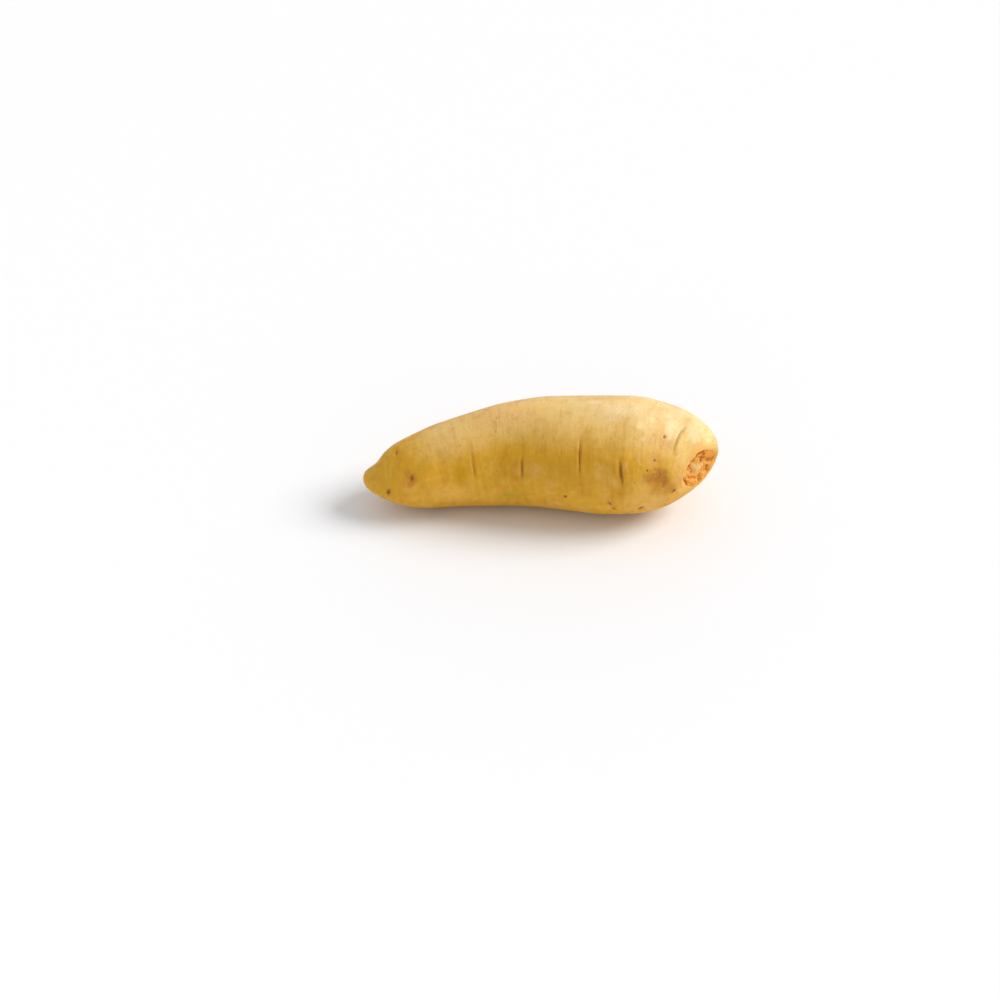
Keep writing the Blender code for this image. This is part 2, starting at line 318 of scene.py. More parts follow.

# %% [markdown]
# ## Pits
# Where hair roots broke off, and where grit was pressed in, the skin has small dark pits with low lips. The
# larger ones that can be seen from the viewer's side are listed one by one, and a seeded rule strews more over
# the whole root.

# %% Pits seen from the front, and strewn ones
PITS = (  # run, turn, half length, half width, slant in degrees, depth, darkness
    (89.6, -10.0, 0.75, 0.65, 0, 0.30, 1.0),
    (106.1, -18.0, 1.40, 0.65, -65, 0.22, 0.7),
    (107.4, -27.0, 1.40, 0.65, -60, 0.22, 0.7),
    (117.3, -29.0, 1.30, 0.60, 25, 0.35, 1.0),
    (122.3, 19.0, 0.60, 0.60, 0, 0.20, 0.8),
    (126.0, 18.0, 0.55, 0.45, 0, 0.15, 0.6),
    (126.3, 28.0, 0.70, 0.60, 40, 0.18, 0.7),
    (131.7, 55.0, 0.80, 0.60, 70, 0.25, 0.8),
    (126.6, 56.0, 0.80, 0.60, 0, 0.15, 0.4),
    (131.7, -18.0, 0.95, 0.80, 20, 0.35, 1.0),
    (15.1, 1.0, 1.45, 0.70, 62, 0.40, 1.0),
    (20.0, 86.0, 1.60, 0.65, 80, 0.20, 0.6),
    (24.6, 28.5, 1.50, 0.85, 68, 0.20, 0.7),
    (59.7, 19.0, 0.50, 0.45, 0, 0.15, 0.5),
    (44.7, 59.0, 0.90, 0.60, 30, 0.12, 0.35),
    (38.5, 61.5, 0.80, 0.50, 60, 0.12, 0.3),
    (68.5, 82.0, 0.60, 0.50, 0, 0.10, 0.35),
    (67.7, 64.0, 0.55, 0.45, 0, 0.10, 0.3),
)
STREWN = spread(5, 110, (6, 138), (-180, 180), (0.30, 0.75), (0.25, 0.5), (0, 180), (0.04, 0.16), (0.1, 0.55))
PIT_LIP, PIT_LIP_PLACE, PIT_PAINT = 0.25, 2.0, 1.1
PIT_RAGS, PIT_RAG_SIZE = 0.30, 1.1

pit = np.zeros(run.shape)
pit_edge = 1 + PIT_RAGS * waves(TUBE, PIT_RAG_SIZE, seed=43)
for middle, facing, long, wide, slant, depth, dark in [*PITS, *STREWN]:
    ahead, around = run - middle, round_from(facing)
    cosine, sine = np.cos(np.radians(slant)), np.sin(np.radians(slant))
    lengthways = (ahead * cosine + around * sine) / long
    crossways = (around * cosine - ahead * sine) / wide
    distance = np.hypot(lengthways, crossways) * pit_edge
    height -= depth * (np.exp(-distance ** 2) - PIT_LIP * np.exp(-(distance - PIT_LIP_PLACE) ** 2))
    pit = np.maximum(pit, dark * np.exp(-(distance / PIT_PAINT) ** 2))
print(f"{len(PITS) + len(STREWN)} pits")

# %% [markdown]
# ## Grain
# Close up, the skin is faintly banded across: fine wrinkles that run round the root, stronger in some places
# than in others. Waves give that grain when the place they read is squeezed round the root, so that each wave
# is long that way and short along it.

# %% Fine bands round the root
SQUEEZE = np.array([1.0, 0.16, 0.16])
GRAIN_WAVES = 32
WRINKLE_HEIGHT, WRINKLE_SIZE = 0.030, 2.6
HAIRLINE_HEIGHT, HAIRLINE_SIZE = 0.014, 1.3
USUAL_STRENGTH, VARIED_STRENGTH, STRENGTH_SIZE = 0.6, 0.4, 22.0

wrinkled = USUAL_STRENGTH + VARIED_STRENGTH * waves(skin, STRENGTH_SIZE, seed=15)
height += WRINKLE_HEIGHT * wrinkled * waves(TUBE * SQUEEZE, WRINKLE_SIZE, 16, GRAIN_WAVES)
height += HAIRLINE_HEIGHT * waves(TUBE * SQUEEZE, HAIRLINE_SIZE, 17, GRAIN_WAVES)
skin = skin + height[..., None] * normal
print(f"grain up to {WRINKLE_HEIGHT * wrinkled.max():.3f} mm high")

# %% [markdown]
# ## The crown scar
# The root was torn from its plant, which leaves a flat break across the shoulder, some 18 mm wide. Its rim is
# ragged. Inside, it is fibrous: a pale stub of core, and round it lobes of orange flesh with brown cracks
# between them. The break is worked out in its own plane: x to the left as seen from outside, y up, in mm.

# %% The plane of the break
SCAR_CUT = 2.7  # mm below the skin
SCAR_HEADING, SCAR_PITCH = -44.0, -7.0  # degrees that it faces from +X towards +Y, and up
SCAR_RADIUS, SCAR_SHIFT = 9.0, (-1.2, -1.0)
SCAR_EDGE = 0.35  # mm over which the skin bends into the plane

heading, pitch = np.radians((SCAR_HEADING, SCAR_PITCH))
out = np.array([np.cos(heading) * np.cos(pitch), np.sin(heading) * np.cos(pitch), np.sin(pitch)])
level = np.cross(out, (0.0, 0.0, 1.0))
level /= np.linalg.norm(level)
up = np.cross(level, out)
scar_middle = on_body(np.array(SCAR_RUN), np.array(SCAR_TURN)) - SCAR_CUT * out
above = (skin - scar_middle) @ out
x, y = (skin - scar_middle) @ level - SCAR_SHIFT[0], (skin - scar_middle) @ up - SCAR_SHIFT[1]
print("middle of the scar in mm:", scar_middle.round(1), "facing", out.round(2))

# %% The ragged rim
SCAR_RAGS = ((0.6, 2, 90.0), (0.35, 4, 90.0))  # mm, waves round the rim, start in degrees
RIM_WAVES = ((0.30, 2.4, 21), (0.12, 0.9, 20))  # mm, size, seed
RIM_PLACE, RIM_STEP = 0.4, 0.25  # mm inside the rim where the break begins, and how softly

flat = np.stack([x, y, np.zeros(x.shape)], axis=-1)
bearing = np.arctan2(y, x)
inward = SCAR_RADIUS - np.hypot(x, y)
for far, count, start in SCAR_RAGS:
    inward = inward + far * np.sin(count * bearing + np.radians(start))
for far, size, seed in RIM_WAVES:
    inward = inward + far * waves(flat, size, seed)
torn = 1 / (1 + np.exp(-(inward - RIM_PLACE) / RIM_STEP))
print(f"the middle lies {inward.max():.1f} mm inside the rim")

# %% [markdown]
# Lobes and cracks are strokes: a ridge or a groove along a short line, with a bell across it. A small table
# of them gives the pattern that can be seen in the break. Waves make each stroke wander and swell, and a
# seeded rule adds short fibres that run outwards from the middle, so that no stroke looks drawn.

# %% Lobes and cracks
STROKES = (  # from x, y to x, y, half width, height, orange, brown
    (2.2, 7.8, -1.2, 8.2, 1.1, -0.70, 0.3, 1.2),
    (5.8, 6.0, 3.0, 7.5, 0.9, -0.40, 0.3, 0.9),
    (7.2, 5.2, 6.7, 3.6, 1.1, -0.50, 0.3, 0.9),
    (5.0, 2.0, 4.0, 0.0, 0.9, -0.40, 0.0, 0.5),
    (-1.3, 5.6, -0.5, 3.2, 1.2, -0.90, 0.3, 1.2),
    (0.2, 6.9, -2.6, 6.2, 1.0, 0.50, 1.0, 0.0),
    (-4.6, 1.6, -5.8, 0.0, 0.9, -0.50, 0.5, 0.8),
    (-8.5, 1.2, -8.2, -0.5, 0.8, -0.40, 0.5, 0.7),
    (-3.6, 4.4, -7.0, 2.6, 1.6, 0.60, 0.8, 0.2),
    (-5.5, -2.8, -5.9, -4.3, 1.1, -0.80, 0.3, 1.1),
    (-3.4, -0.4, -3.8, -2.6, 0.9, 0.40, 0.7, 0.0),
    (5.2, -3.8, 1.0, -7.2, 1.6, 1.00, 0.5, 0.0),
    (6.4, -1.4, 4.0, -3.0, 0.6, -0.40, 1.0, 0.4),
    (4.0, -3.0, -0.4, -5.9, 0.6, -0.50, 1.0, 0.4),
    (-1.3, -4.6, -1.5, -7.4, 0.9, -0.40, 0.6, 0.5),
    (-3.0, -6.4, -5.4, -5.2, 1.3, 0.40, 0.3, 0.1),
    (8.8, -0.8, 6.5, -4.9, 0.6, -0.50, 0.3, 1.1),
)
STROKE_WANDER, WANDER_SIZE = 0.55, 3.0
STROKE_SWELL, STROKE_SWELL_SIZE = 0.45, 1.6


def to_stroke(x, y, x0, y0, x1, y1):
    """Distance to a short line: to the point on it whose share of the way is clipped between its ends."""
    share = np.clip(((x - x0) * (x1 - x0) + (y - y0) * (y1 - y0)) / ((x1 - x0) ** 2 + (y1 - y0) ** 2), 0, 1)
    return np.hypot(x - x0 - share * (x1 - x0), y - y0 - share * (y1 - y0))


lobes, orange, brown = np.zeros(x.shape), np.zeros(x.shape), np.zeros(x.shape)
bent_x = x + STROKE_WANDER * waves(flat, WANDER_SIZE, seed=22)
bent_y = y + STROKE_WANDER * waves(flat, WANDER_SIZE, seed=23)
uneven = 1 + STROKE_SWELL * waves(flat, STROKE_SWELL_SIZE, seed=27)
for x0, y0, x1, y1, half, rise, warm, dark in STROKES:
    bell = np.exp(-(to_stroke(bent_x, bent_y, x0, y0, x1, y1) / half * uneven) ** 2)
    lobes += rise * bell
    orange = np.maximum(orange, warm * bell)
    brown = np.maximum(brown, dark * bell)
print(f"{len(STROKES)} strokes, lobes from {lobes.min():.1f} to {lobes.max():.1f} mm")

# %% Short fibres, and brown along the rim
FIBRES = spread(  # bearing, start from the middle, length, skew, half width, height
    61, 60, (0, 360), (3.0, 7.6), (0.8, 2.2), (-25, 25), (0.14, 0.32), (-0.30, 0.35))
FIBRE_BROWN = 1.8  # for each mm of depth
RIM_WIDTH = 0.5
RIM_BROWN, RIM_TOP = 0.25, 0.25  # all round, and more at the top
RIM_PATCHES, RIM_PATCH_SIZE = 0.5, 3.5

for facing, begin, long, skew, half, rise in FIBRES:
    way, slant = np.radians(facing), np.radians(facing + skew)
    x0, y0 = begin * np.cos(way), begin * np.sin(way)
    x1, y1 = x0 + long * np.cos(slant), y0 + long * np.sin(slant)
    bell = np.exp(-(to_stroke(bent_x, bent_y, x0, y0, x1, y1) / half) ** 2)
    lobes += rise * bell
    brown = np.maximum(brown, -FIBRE_BROWN * rise * bell)
rim_share = RIM_BROWN + RIM_TOP * np.sin(bearing) + RIM_PATCHES * waves(flat, RIM_PATCH_SIZE, seed=28)
rim = np.exp(-((inward - RIM_PLACE) / RIM_WIDTH) ** 2) * np.clip(rim_share, 0, 1)
brown = np.maximum(brown, rim)
print(f"{len(FIBRES)} fibres, lobes now from {lobes.min():.1f} to {lobes.max():.1f} mm")

# %% [markdown]
# What stands above the plane is taken off by a soft least of the height above it and nothing, so the skin
# bends into the break instead of stopping at a knife edge. Near the plane the relief of the break is then
# added: a lip outside the rim, a sunken floor, the stub of core, and inside the rim the lobes and finer
# frays.

# %% Tear it
SCAR_LIP = (0.4, 0.6, 1.3)  # height, mm outside the rim, half width
SCAR_LIP_WAVES = (0.35, 3, 1.0)  # share of the height, waves round the rim, start in radians
SCAR_FLOOR = (0.5, 0.8, 0.45)  # depth, mm inside the rim, softness
SCAR_STUB = (0.8, 1.0, 1.2, 2.6)  # height, x, y, radius
SCAR_FADE = 1.5  # mm below the plane over which the relief fades
CORE_SLANT, CORE_LONG, CORE_WIDE = 33.0, 3.5, 2.3  # degrees, and mm
RIDGES, RIDGE_SIZE = 0.22, 2.2
FRAYS = ((0.10, 1.1, 25), (0.06, 0.6, 26))  # height, size, seed

lip_height, lip_place, lip_width = SCAR_LIP
lip_share, lip_count, lip_start = SCAR_LIP_WAVES
lip_rise = lip_height * (1 + lip_share * np.sin(lip_count * bearing + lip_start))
lip = lip_rise * np.exp(-((inward + lip_place) / lip_width) ** 2)
floor_depth, floor_place, floor_step = SCAR_FLOOR
sunk = floor_depth / (1 + np.exp(-(inward - floor_place) / floor_step))
stub_height, stub_x, stub_y, stub_radius = SCAR_STUB
stub = np.exp(-((x - stub_x) ** 2 + (y - stub_y) ** 2) / stub_radius ** 2)
core_angle = np.radians(CORE_SLANT)
core_x = np.cos(core_angle) * (x - stub_x) + np.sin(core_angle) * (y - stub_y)
core_y = np.cos(core_angle) * (y - stub_y) - np.sin(core_angle) * (x - stub_x)
pale_core = np.exp(-(core_x / CORE_LONG) ** 2 - (core_y / CORE_WIDE) ** 2)
frays = RIDGES * np.abs(waves(flat, RIDGE_SIZE, seed=24))
for rise, size, seed in FRAYS:
    frays = frays + rise * waves(flat, size, seed)
cut = -SCAR_EDGE * np.logaddexp(0, -above / SCAR_EDGE)
near_plane = np.exp(-(cut / SCAR_FADE) ** 2)
new_height = cut + near_plane * (lip - sunk + stub_height * stub + torn * (lobes + frays))
skin = skin + (new_height - above)[..., None] * out
torn = torn * near_plane
print(f"{int((torn > 0.5).sum())} points lie in the torn break")

# %% [markdown]
# ## Resting place
# The root's weight has pressed a narrow flat along its underside. The solid has it, so that it rests without
# rolling, and the fine surface is clamped the same way and then set down on the floor's level.

# %% Flatten the underside
REST_FLAT = 0.5
skin[..., 2] = np.maximum(skin[..., 2], REST_FLAT) - REST_FLAT
print(f"lowest {skin[..., 2].min():.2f} mm, box {np.ptp(skin.reshape(-1, 3), axis=0).round(1)} mm")


# %% [markdown]
# ## From grid to mesh
# The first and the last ring are points, so they become one vertex each with a fan of triangles. All other
# faces are quads between neighbouring rings. The order of a face's corners says which side is out, and the
# enclosed volume tells whether it is right: it comes out negative where a mesh is inside out.


# %% One closed mesh
def ringed_mesh(name, points):
    """A closed mesh: a pole, the rings between, a pole, with quads between rings and fans at both poles.

    A face's corners go on to the next ring first and then round it, which makes every face point outward.
    """
    rings, around = points.shape[0] - 2, points.shape[1]
    first_pole, last_pole = points[:1].mean(axis=1), points[-1:].mean(axis=1)
    vertices = np.concatenate([first_pole, points[1:-1].reshape(-1, 3), last_pole])
    here = np.arange(around)
    after = (here + 1) % around
    first = 1 + around * np.arange(rings - 1)[:, None]
    quads = np.stack([first + here, first + around + here, first + around + after, first + after], axis=-1)
    last = 1 + around * (rings - 1)
    tip = np.stack([np.zeros(around, int), here + 1, after + 1], axis=-1)
    end = np.stack([last + after, last + here, np.full(around, last + around)], axis=-1)
    faces = [*tip.tolist(), *quads.reshape(-1, 4).tolist(), *end.tolist()]
    mesh = bpy.data.meshes.new(name)
    mesh.from_pydata((vertices * MM).tolist(), [], faces)
    mesh.shade_smooth()
    return mesh


def on_vertices(values):
    """A grid of values in the order of the mesh's vertices, with the mean of each end ring at its pole."""
    return np.concatenate([values[:1].mean(axis=1), values[1:-1].ravel(), values[-1:].mean(axis=1)])


def enclosed(mesh):
    """Volume in cubic metres and number of triangles.

    The volume is a sixth of the sum of each triangle's triple product, and positive if faces point out.
    """
    mesh.calc_loop_triangles()
    numbers = np.zeros(len(mesh.loop_triangles) * 3, np.int32)
    mesh.loop_triangles.foreach_get("vertices", numbers)
    points = np.zeros(len(mesh.vertices) * 3)
    mesh.vertices.foreach_get("co", points)
    a, b, c = points.reshape(-1, 3)[numbers.reshape(-1, 3)].transpose(1, 0, 2)
    return float((a * np.cross(b, c)).sum() / 6), len(mesh.loop_triangles)


root = bpy.data.objects.new("root_skin", ringed_mesh("root_skin", skin))
bpy.context.scene.collection.objects.link(root)
volume, triangles = enclosed(root.data)
print(f"{triangles} triangles, {volume * 1e6:.1f} cubic cm, faces outward: {volume > 0}")

# %% [markdown]
# ## Blotches
# Broad stains are neither pit nor crease: a brown bruise by the crown, a yellow-ochre patch, olive smears low
# on the side, rusty spots, peach patches and lighter straw ones. Other patches are painted light and shade:
# a lighter strip along the top and a lighter patch beside the scar are painted light, duskier patches are
# partly stains and partly painted shade where the tip, the front and the side of a crease lie in shade, and
# milky ones on the upper side are partly paler skin and partly a painted highlight. Each is a soft oval on the
# skin, with a wavy edge. Close round the crown the skin is the most mottled, and there a seeded rule strews
# many small blots.

# %% Stains, and patches of painted light and shade
STAINS_AND_PAINTED_LIGHT = {  # kind: rows of run, turn, half length along, half length round, strength
    "bruise": ((127.2, 7.5, 3.8, 4.8, 1.1), (129.0, 1.5, 3.2, 4.4, 1.0), (124.2, 9.5, 4.4, 4.2, 0.9),
               (129.6, -5.5, 3.0, 4.0, 0.7), (131.0, -12.5, 2.6, 3.6, 0.7), (126.0, -2.5, 4.4, 4.6, 0.65),
               (128.0, -12.0, 4.0, 3.6, 0.5)),
    "straw": ((119.0, -4.0, 6.0, 8.0, 0.9), (124.0, -14.0, 6.0, 4.5, 0.8), (134.0, 8.0, 2.6, 9.0, 0.6),
              (38.0, -6.0, 12.0, 7.0, 0.8), (57.0, -14.0, 10.0, 5.0, 0.5), (112.0, 62.0, 9.0, 7.0, 0.4),
              (102.0, 56.0, 7.0, 7.0, 0.4), (140.2, 58.0, 1.8, 5.0, 0.6), (133.0, -26.0, 4.5, 4.5, 0.7),
              (24.0, 13.0, 3.5, 3.0, 0.7)),
    # Painted light: a lighter strip along the top, where the light falls, and a lighter patch beside the scar.
    "painted_light_spots": ((139.8, 24.0, 3.6, 8.0, 0.9), (112.0, 99.0, 17.0, 5.0, 0.7), (74.0, 94.0, 14.0, 4.0, 0.5)),
    # Partly paler skin and partly a painted highlight on the upper side, where the light falls.
    "milk_and_painted_highlight": ((134.4, 67.0, 3.0, 5.5, 0.9), (109.5, 87.0, 8.5, 6.0, 0.75), (118.0, 86.0, 5.5, 5.0, 0.65),
             (99.5, 98.0, 7.0, 3.5, 0.6)),
    # Partly darker skin and partly painted shade: at the tip, on the front and beside a crease, where the skin
    # lies in shade.
    "dusk_and_painted_shade": ((88.0, 18.0, 11.0, 7.0, 0.65), (64.0, 14.0, 9.0, 4.0, 0.3), (22.0, 70.0, 7.0, 6.0, 0.6),
             (104.0, 24.0, 5.0, 9.0, 0.5), (28.0, 44.0, 6.0, 6.0, 0.7), (98.2, 46.0, 4.5, 9.0, 0.7),
             (99.0, 12.0, 4.5, 8.0, 0.6), (107.0, 45.0, 4.5, 6.0, 0.6), (109.7, 20.0, 1.3, 6.0, 0.9),
             (74.4, 19.0, 4.5, 5.5, 0.65), (24.8, 53.0, 3.5, 6.0, 0.75), (48.4, 43.0, 4.0, 6.0, 0.55),
             (111.0, 8.0, 4.0, 4.5, 0.55)),
    "ochre": ((42.6, 21.0, 3.2, 5.2, 1.15), (44.5, 8.0, 2.4, 3.0, 0.6), (129.0, 22.0, 3.6, 2.6, 0.55)),
    "olive": ((64.7, -15.0, 5.0, 2.6, 0.8), (27.6, 43.0, 1.3, 1.5, 0.6), (12.0, 40.0, 9.0, 14.0, 0.35)),
    "rust": ((24.2, 28.0, 2.1, 3.6, 1.0), (20.0, 86.0, 0.8, 1.7, 0.5), (40.0, 61.0, 4.0, 1.6, 0.3),
             (107.0, 30.0, 2.2, 3.5, 0.3), (135.8, 44.0, 2.0, 3.4, 0.45), (132.4, -28.0, 1.2, 3.0, 0.6),
             (140.6, 70.0, 0.9, 4.5, 0.45)),
    "peach": ((66.0, 92.0, 14.0, 9.0, 0.6), (108.0, 100.0, 12.0, 6.0, 0.5), (129.8, 58.0, 4.0, 5.0, 0.5),
              (137.5, 17.0, 4.0, 5.0, 0.4), (135.8, -2.0, 3.0, 5.0, 0.7), (134.5, -26.0, 3.0, 4.0, 0.5),
              (121.5, -20.0, 8.0, 5.0, 0.5), (146.8, 34.0, 1.6, 2.6, 0.9)),
}
BLOTS = {  # kind: seeded rows of the same five values, close round the crown
    # The milky blots lie only on the upper side: partly paler skin, partly a painted highlight.
    "milk_and_painted_highlight": spread(71, 60, (112, 153), (50, 170), (0.7, 2.4), (0.7, 2.8), (0.25, 0.75)),
    "straw": spread(72, 120, (104, 153), (-180, 180), (0.7, 2.2), (0.7, 2.6), (0.3, 0.9)),
    "peach": spread(73, 140, (104, 153), (-180, 180), (0.7, 2.2), (0.7, 2.6), (0.15, 0.55)),
}
PATCH_WAVES, PATCH_WAVE_SIZE = 0.30, 4.0
patch_edge = 1 + PATCH_WAVES * waves(TUBE, PATCH_WAVE_SIZE, seed=41)


def patch_mask(rows):
    """Strength of one kind of patch: the largest of its ovals, each a bell of the distance in half lengths."""
    made = np.zeros(run.shape)
    for middle, facing, long, wide, strength in rows:
        distance = np.hypot((run - middle) / long, round_from(facing) / wide) * patch_edge
        made = np.maximum(made, strength * np.exp(-distance ** 2))
    return made


print({kind: len(rows) + len(BLOTS.get(kind, ())) for kind, rows in STAINS_AND_PAINTED_LIGHT.items()})

# %% [markdown]
# The finish reads every such value from the mesh as a point attribute, a mask from 0 to about 1. Three more
# masks follow the body. One is painted light: the more the skin faces up and towards the crown, where the light
# falls, the paler it is painted, and the tip, which lies in shade, is painted less pale. One stains the skin
# close to the break, and one says how deep the break is. The painted light goes by which way the skin faces, so
# it stays put when the viewer walks round.

# %% Masks on the mesh
# Painted light: skin that faces up and towards the crown is painted paler, as the light falls there, and the
# tip is painted less pale, as it lies in shade.
TOWARDS_PAINTED_LIGHT = np.array([0.45, 0.0, 0.88])
PAINTED_LIGHT_PATCHES, PAINTED_LIGHT_PATCH_SIZE = 0.035, 24.0
TIP_PAINTED_SHADE, TIP_PAINTED_SHADE_RUN = 0.35, 26.0
NEAR_SCAR_REACH, NEAR_SCAR_DEPTH = 2.5, 3.0
HOLLOW_DEPTH = 2.0  # mm below the plane at which the mask is full

painted_light_patches = PAINTED_LIGHT_PATCHES * waves(skin, PAINTED_LIGHT_PATCH_SIZE, seed=42)
painted_light = normal @ TOWARDS_PAINTED_LIGHT + painted_light_patches - TIP_PAINTED_SHADE * np.exp(-(run / TIP_PAINTED_SHADE_RUN) ** 2)
outside = np.clip(-inward, 0, None)
near_scar = np.exp(-(outside / NEAR_SCAR_REACH) ** 2) * np.exp(-(cut / NEAR_SCAR_DEPTH) ** 2)
masks = {"crease": crease, "pit": pit, "torn": torn, "orange": orange, "brown": brown, "core": pale_core}
masks.update({"painted_light": np.clip(painted_light, 0, 1), "near_scar": near_scar})
masks.update({kind: patch_mask([*rows, *BLOTS.get(kind, ())]) for kind, rows in STAINS_AND_PAINTED_LIGHT.items()})
masks["hollow"] = np.clip(-(new_height - cut) * near_plane, 0, HOLLOW_DEPTH) / HOLLOW_DEPTH
for name, values in masks.items():
    attribute = root.data.attributes.new(name, "FLOAT", "POINT")
    attribute.data.foreach_set("value", on_vertices(values).astype(np.float32))
unrolled = root.data.attributes.new("unrolled", "FLOAT_VECTOR", "POINT")
tube_places = np.stack([on_vertices(TUBE[..., i]) for i in range(3)], axis=-1)
unrolled.data.foreach_set("vector", (tube_places * MM).astype(np.float32).ravel())
print("painted by:", ", ".join(masks))

# %% [markdown]
# ## Finish of the skin
# Raw root skin is thin, nearly matt and a little translucent: straw to ochre yellow in soft clouds, with fine
# darker bands across, freckles, and a faint waxy gloss. One Principled shader carries it. The colour is mixed
# in layers, from the broadest to the finest, and the masks above put each stain, and each patch of painted
# light and shade, in its place.


# %% Small helpers for node trees
def place(tree, kind, inputs=(), **settings):
    """Adds a node, sets its options, and links or sets each of its inputs."""
    made = tree.nodes.new(kind)
    for name, value in settings.items():
        setattr(made, name, value)
    for name, value in dict(inputs).items():
        if isinstance(value, bpy.types.NodeSocket):
            tree.links.new(value, made.inputs[name])
        else:
            made.inputs[name].default_value = value
    return made


def noise(tree, vector, scale, detail=3.0, roughness=0.55):
    """Cloudy values about 0.5, from a place and a number of clouds in a metre."""
    inputs = {"Vector": vector, "Scale": scale, "Detail": detail, "Roughness": roughness}
    return place(tree, "ShaderNodeTexNoise", inputs).outputs["Fac"]


def between(tree, value, low, high, least=0.0, most=1.0):
    """A soft step: least at low and beyond, most at high and beyond, and an S curve between them."""
    inputs = {"Value": value, "From Min": low, "From Max": high, "To Min": least, "To Max": most}
    return place(tree, "ShaderNodeMapRange", inputs, interpolation_type="SMOOTHSTEP").outputs["Result"]


def math(tree, operation, a, b):
    """One sum on two values."""
    return place(tree, "ShaderNodeMath", {0: a, 1: b}, operation=operation).outputs[0]


def swing(tree, cloudy, strength):
    """How far a cloudy value lies from its middle of 0.5, times a strength."""
    return math(tree, "MULTIPLY", math(tree, "SUBTRACT", cloudy, 0.5), strength)


def blend(tree, share, under, over, how="MIX"):
    """Lays one colour over another by a share, or tints the one with the other where how is MULTIPLY."""
    made = place(tree, "ShaderNodeMix", {0: share, 6: under, 7: over}, data_type="RGBA", blend_type=how)
    return made.outputs[2]


def mask(tree, name):
    """A point attribute of the mesh."""
    return place(tree, "ShaderNodeAttribute", attribute_name=name).outputs["Fac"]


# %% Colours, as the skin has them in white light, and some that are painted light and shade
OCHRE = (0.62, 0.325, 0.013, 1)
GOLD = (0.68, 0.365, 0.022, 1)
# This tint is for the dusky patches: partly darker skin, partly painted shade.
SHADE = (0.52, 0.265, 0.013, 1)
STRAW = (0.80, 0.455, 0.080, 1)
# Painted light, for the lighter strip along the top and the patch beside the scar.
PAINTED_LIGHT_TINT = (0.88, 0.590, 0.200, 1)
# Partly paler skin, partly a painted highlight on the upper side.
MILK_AND_PAINTED_HIGHLIGHT = (0.93, 0.720, 0.400, 1)
# These two colours are painted light: the upper side and the crown are painted paler where the light falls, and
# palest where it falls most.
PAINTED_LIGHT_CREAM = (0.77, 0.545, 0.215, 1)
PAINTED_HIGHLIGHT_IVORY = (0.80, 0.605, 0.300, 1)
PEACH = (0.76, 0.440, 0.150, 1)
TAN = (0.88, 0.770, 0.600, 1)
OLIVE = (0.46, 0.300, 0.014, 1)
YELLOW = (0.54, 0.270, 0.000, 1)
RUST = (0.50, 0.190, 0.020, 1)
BRUISE = (0.38, 0.135, 0.018, 1)
CRACK = (0.29, 0.115, 0.005, 1)
PIT = (0.24, 0.085, 0.010, 1)
FLESH = (0.76, 0.395, 0.095, 1)
AMBER = (0.80, 0.270, 0.022, 1)
RUSSET = (0.56, 0.200, 0.016, 1)
BARK = (0.42, 0.120, 0.005, 1)
BEIGE = (0.74, 0.480, 0.185, 1)

# %% How many of each pattern lie in a metre
CLOUDS, PEACH_PATCHES, PAINTED_LIGHT_CLOUDS, TAN_PATCHES = 38.0, 70.0, 90.0, 120.0
FRECKLE_PATCHES, FRECKLES, BLOTCHES, BANDS = 210.0, 260.0, 300.0, 420.0
STRANDS, TATTERS, PORES, SCURF = 700.0, 900.0, 1200.0, 1500.0
BAND_SQUEEZE = (1.0, 0.14, 0.14)
PAINTED_LIGHT_UNEVEN = 0.14  # how far the pale clouds move the edge of the pale side
print(f"clouds are {1 / CLOUDS / MM:.0f} mm long, and the finest grain is {1 / SCURF / MM:.1f} mm")

# %% [markdown]
# The clouds and freckles read the object's own place. The bands read the straight tube instead, squeezed much
# as the relief was, so that colour and relief run the same way.

# %% Skin, from clouds to fine bands
finish = bpy.data.materials.new("root_skin")
finish.use_nodes = True
tree = finish.node_tree
shader = tree.nodes["Principled BSDF"]
here = place(tree, "ShaderNodeTexCoord").outputs["Object"]
tube = place(tree, "ShaderNodeAttribute", attribute_name="unrolled").outputs["Vector"]
banded = place(tree, "ShaderNodeMapping", {"Vector": tube, "Scale": BAND_SQUEEZE}).outputs["Vector"]

clouds = noise(tree, here, CLOUDS, detail=4.0, roughness=0.6)
colour = blend(tree, between(tree, clouds, 0.34, 0.66), OCHRE, GOLD)
blotches = noise(tree, here, BLOTCHES, detail=2.0)
colour = blend(tree, between(tree, blotches, 0.48, 0.28, most=0.35), colour, STRAW)
fine_bands = noise(tree, banded, BANDS, detail=4.0, roughness=0.62)
colour = blend(tree, between(tree, fine_bands, 0.46, 0.26, most=0.35), colour, STRAW)
# Painted light: cream where the skin faces up and towards the crown, ivory where it faces that way most, and
# less of both at the tip, which lies in shade.
painted_light_clouds = math(tree, "MULTIPLY", noise(tree, here, PAINTED_LIGHT_CLOUDS, detail=4.0), PAINTED_LIGHT_UNEVEN)
uneven_painted_light = math(tree, "ADD", mask(tree, "painted_light"), painted_light_clouds)
colour = blend(tree, between(tree, uneven_painted_light, 0.42, 1.02), colour, PAINTED_LIGHT_CREAM)
colour = blend(tree, between(tree, uneven_painted_light, 0.86, 1.06), colour, PAINTED_HIGHLIGHT_IVORY)
tan_patches = between(tree, noise(tree, here, TAN_PATCHES), 0.48, 0.72, most=0.5)
colour = blend(tree, tan_patches, colour, TAN, "MULTIPLY")
colour = blend(tree, mask(tree, "peach"), colour, PEACH)
peach_patches = between(tree, noise(tree, here, PEACH_PATCHES, detail=2.0), 0.58, 0.72, most=0.35)
colour = blend(tree, peach_patches, colour, PEACH)
colour = blend(tree, between(tree, blotches, 0.52, 0.74, most=0.55), colour, TAN, "MULTIPLY")
colour = blend(tree, between(tree, fine_bands, 0.50, 0.74, most=0.7), colour, TAN, "MULTIPLY")
